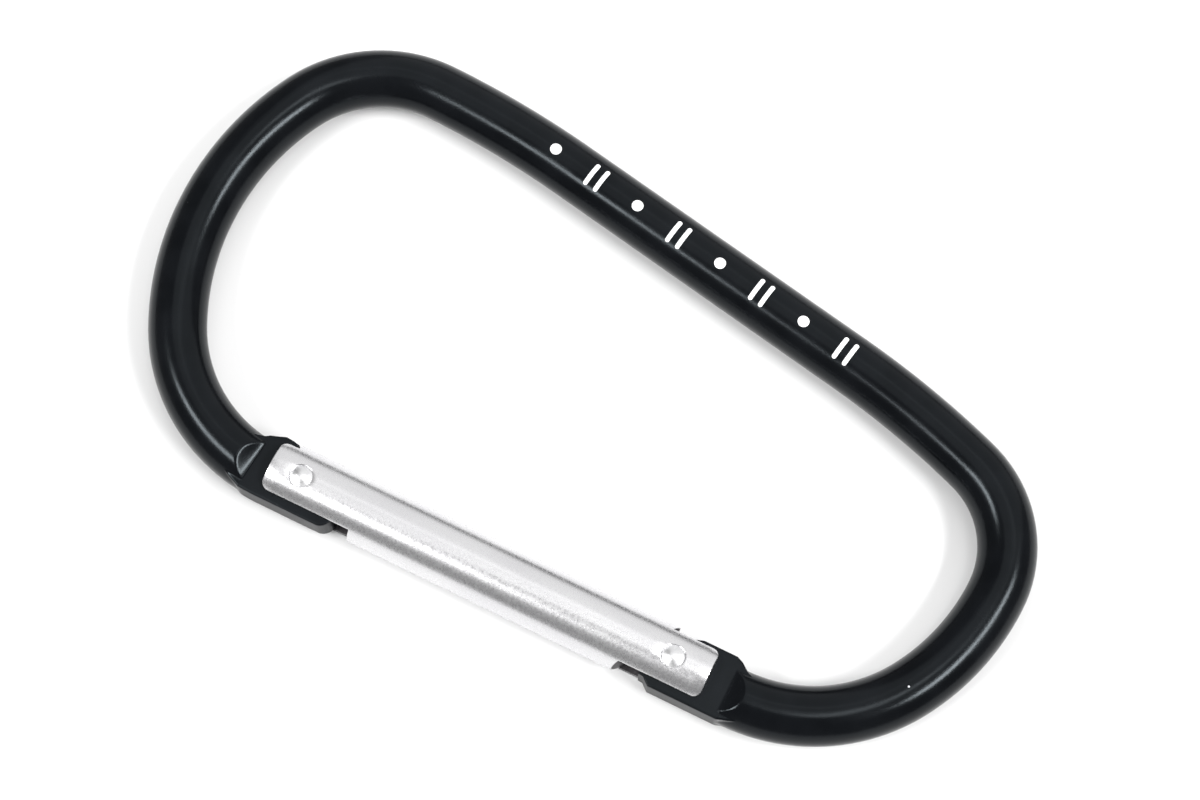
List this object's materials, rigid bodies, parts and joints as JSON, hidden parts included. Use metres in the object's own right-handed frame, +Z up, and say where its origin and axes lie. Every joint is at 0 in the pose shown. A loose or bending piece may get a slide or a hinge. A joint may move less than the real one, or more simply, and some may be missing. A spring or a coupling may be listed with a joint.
{
  "type": "carabiner keyring",
  "caption": "D-shaped accessory carabiner: a bent black rod closed by a sprung silver gate bar that swings inwards on a rivet and catches a hooked nose.",
  "frame": {"origin": "middle of the length and of the width, on the surface that the carabiner lies on", "axes": "+X along the gate from the latch to the hinge, +Y from the gate to the spine, +Z up out of the ring's plane"},
  "size_m": [0.08, 0.042, 0.0056],
  "materials": {
    "black_anodised": "satin black anodised, fine grain",
    "satin_aluminium": "satin, drawn along its length",
    "rivet_aluminium": "peened flush",
    "spring_steel": "bright drawn wire"
  },
  "bodies": {
    "ring": {"carabiner_body": "black_anodised"},
    "gate": {"gate_bar": "satin_aluminium", "hinge_pin": "rivet_aluminium", "latch_pin": "rivet_aluminium", "gate_spring": "spring_steel"},
    "plunger": {"spring_plunger": "spring_steel"}
  },
  "joints": [
    {"name": "gate_hinge", "type": "hinge", "parent": "ring", "child": "gate", "pos_m": [0.01582, -0.018, 0.0028], "axis": [0, 0, -1], "range_deg": [0, 40], "stiffness_Nm_per_rad": 0.03, "springref_deg": -34.38},
    {"name": "plunger_slide", "type": "slide", "parent": "gate", "child": "plunger", "axis": [-1, 0, 0], "range_m": [0, 0.00045], "deforming": ["gate_spring"]}
  ],
  "couplings": [
    {"joint": "plunger_slide", "follows": "gate_hinge", "m_per_rad": 0.0006}
  ]
}
